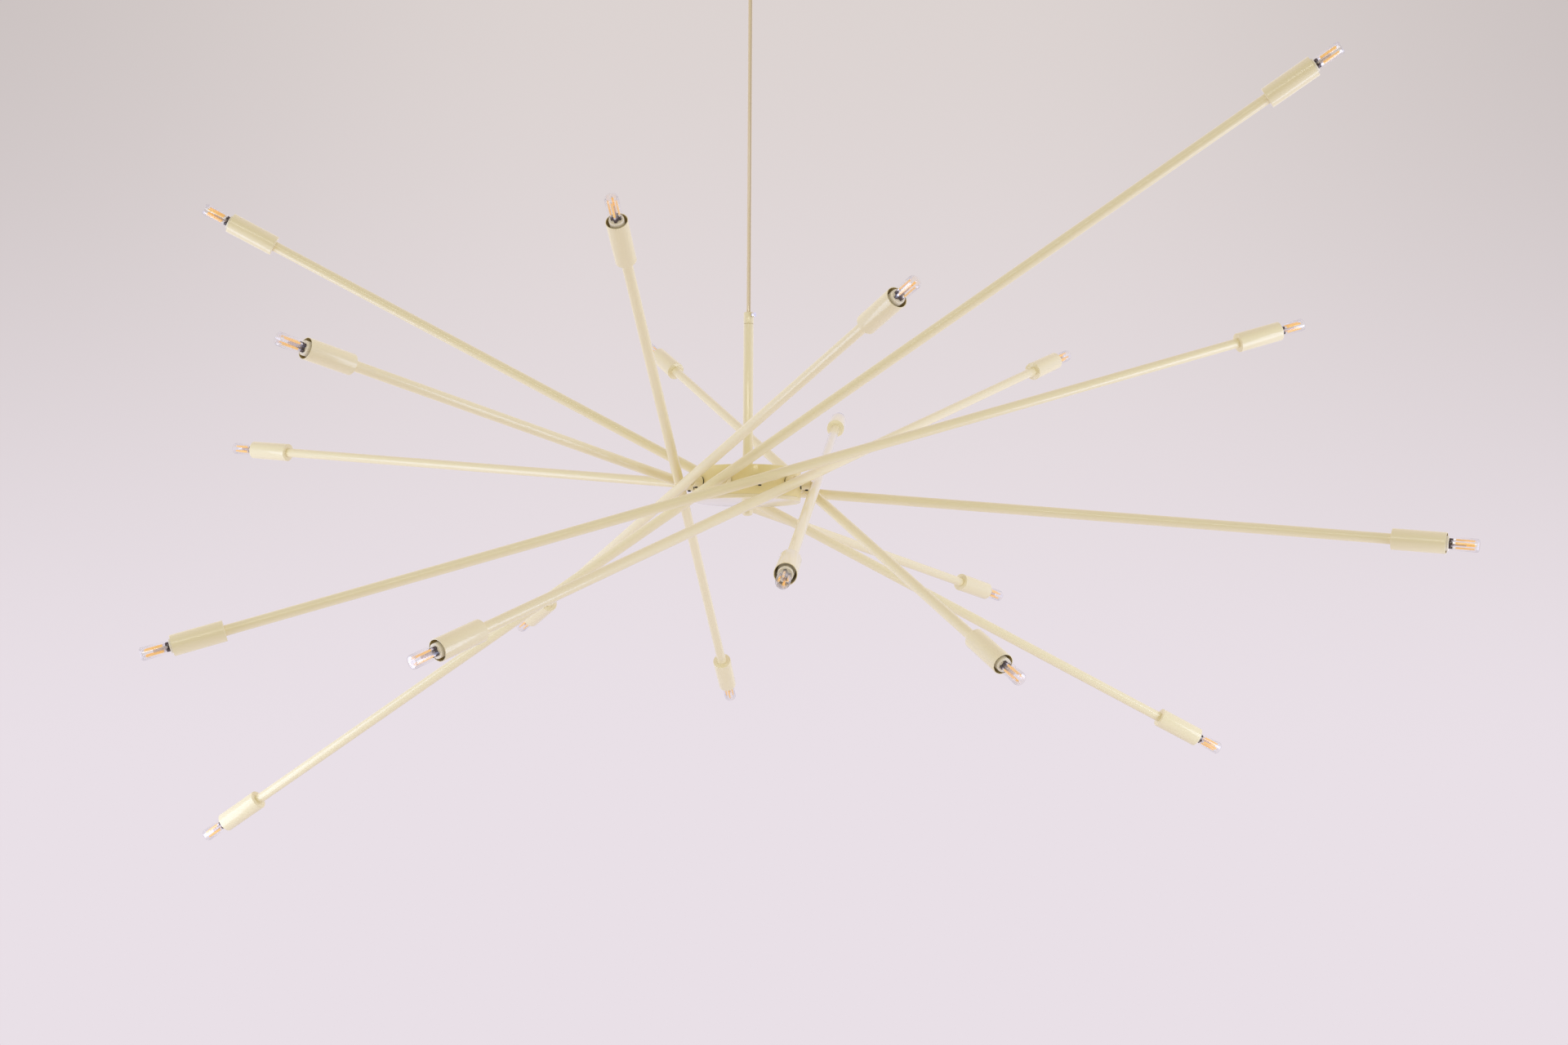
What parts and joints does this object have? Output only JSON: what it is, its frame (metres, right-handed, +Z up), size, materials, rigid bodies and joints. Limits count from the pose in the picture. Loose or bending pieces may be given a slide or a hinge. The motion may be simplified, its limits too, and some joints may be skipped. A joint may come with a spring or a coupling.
{
  "type": "chandelier",
  "caption": "Cable hung chandelier with straight tilting arms set round a drum hub, and a capsule bulb in a cup at both ends of every arm.",
  "frame": {"origin": "centre of the ceiling plate's screw slots, in the plane of the ceiling", "axes": "+Z up, out of the ceiling plate's top; +X along the ceiling plate's slots, to the right in the picture; -Y towards the camera"},
  "size_m": [1.6225, 1.0637, 1.181],
  "materials": {
    "cream_paint": "glossy cream powder coat",
    "bare_steel": "zinc plated",
    "bright_screw": "polished",
    "black_steel": "black oxide, satin",
    "black_nylon": "matt",
    "cable_jacket": "clear jacket over gold braid",
    "white_ceramic": "unglazed, off white",
    "clear_glass": "clear"
  },
  "bodies": {
    "fixture": {"ceiling_bracket": "bare_steel", "ceiling_nipple": "bare_steel", "bracket_nut": "bare_steel", "ceiling_canopy": "cream_paint", "canopy_grip": "cream_paint", "grip_screw": "bright_screw", "suspension_cable": "cable_jacket", "stem_collar": "cream_paint", "collar_screw": "bright_screw", "stem_tube": "cream_paint", "tie_rod": "bare_steel", "stem_nut": "bare_steel", "hub_drum": "cream_paint", "hub_cover": "cream_paint", "finial": "cream_paint", "boss_washers": "black_nylon", "arm_bosses": "cream_paint", "boss_screws": "black_steel", "boss_nuts": "bare_steel"},
    "arm_01": {"arm_tube_01": "cream_paint", "lamp_cups_01": "cream_paint", "lampholders_01": "white_ceramic", "bulbs_01": "clear_glass"},
    "arm_02": {"arm_tube_02": "cream_paint", "lamp_cups_02": "cream_paint", "lampholders_02": "white_ceramic", "bulbs_02": "clear_glass"},
    "arm_03": {"arm_tube_03": "cream_paint", "lamp_cups_03": "cream_paint", "lampholders_03": "white_ceramic", "bulbs_03": "clear_glass"},
    "arm_04": {"arm_tube_04": "cream_paint", "lamp_cups_04": "cream_paint", "lampholders_04": "white_ceramic", "bulbs_04": "clear_glass"},
    "arm_05": {"arm_tube_05": "cream_paint", "lamp_cups_05": "cream_paint", "lampholders_05": "white_ceramic", "bulbs_05": "clear_glass"},
    "arm_06": {"arm_tube_06": "cream_paint", "lamp_cups_06": "cream_paint", "lampholders_06": "white_ceramic", "bulbs_06": "clear_glass"},
    "arm_07": {"arm_tube_07": "cream_paint", "lamp_cups_07": "cream_paint", "lampholders_07": "white_ceramic", "bulbs_07": "clear_glass"},
    "arm_08": {"arm_tube_08": "cream_paint", "lamp_cups_08": "cream_paint", "lampholders_08": "white_ceramic", "bulbs_08": "clear_glass"},
    "arm_09": {"arm_tube_09": "cream_paint", "lamp_cups_09": "cream_paint", "lampholders_09": "white_ceramic", "bulbs_09": "clear_glass"},
    "arm_10": {"arm_tube_10": "cream_paint", "lamp_cups_10": "cream_paint", "lampholders_10": "white_ceramic", "bulbs_10": "clear_glass"}
  },
  "joints": [
    {"name": "arm_01_tilt", "type": "hinge", "parent": "fixture", "child": "arm_01", "pos_m": [0.0224, -0.0836, -0.72], "axis": [0.2588, -0.9659, 0], "range_deg": [-3, 28]},
    {"name": "arm_02_tilt", "type": "hinge", "parent": "fixture", "child": "arm_02", "pos_m": [0.06774, -0.05388, -0.72], "axis": [0.7826, -0.6225, 0], "range_deg": [-4, 24]},
    {"name": "arm_03_tilt", "type": "hinge", "parent": "fixture", "child": "arm_03", "pos_m": [0.08647, -0.00378, -0.72], "axis": [0.999, -0.0436, 0], "range_deg": [-3, 28]},
    {"name": "arm_04_tilt", "type": "hinge", "parent": "fixture", "child": "arm_04", "pos_m": [0.07259, 0.04714, -0.72], "axis": [0.8387, 0.5446, 0], "range_deg": [-1.5, 16.5]},
    {"name": "arm_05_tilt", "type": "hinge", "parent": "fixture", "child": "arm_05", "pos_m": [0.03102, 0.0808, -0.72], "axis": [0.3584, 0.9336, 0], "range_deg": [0, 39]},
    {"name": "arm_06_tilt", "type": "hinge", "parent": "fixture", "child": "arm_06", "pos_m": [-0.0224, 0.0836, -0.72], "axis": [-0.2588, 0.9659, 0], "range_deg": [-0.5, 18.5]},
    {"name": "arm_07_tilt", "type": "hinge", "parent": "fixture", "child": "arm_07", "pos_m": [-0.06532, 0.05678, -0.72], "axis": [-0.7547, 0.6561, 0], "range_deg": [-0.5, 34.5]},
    {"name": "arm_08_tilt", "type": "hinge", "parent": "fixture", "child": "arm_08", "pos_m": [-0.08622, 0.00754, -0.72], "axis": [-0.9962, 0.0872, 0], "range_deg": [-10.5, 12.5]},
    {"name": "arm_09_tilt", "type": "hinge", "parent": "fixture", "child": "arm_09", "pos_m": [-0.07133, -0.04902, -0.72], "axis": [-0.8241, -0.5664, 0], "range_deg": [-5.5, 25.5]},
    {"name": "arm_10_tilt", "type": "hinge", "parent": "fixture", "child": "arm_10", "pos_m": [-0.02818, -0.08184, -0.72], "axis": [-0.3256, -0.9455, 0], "range_deg": [-11.5, 13.5]}
  ]
}
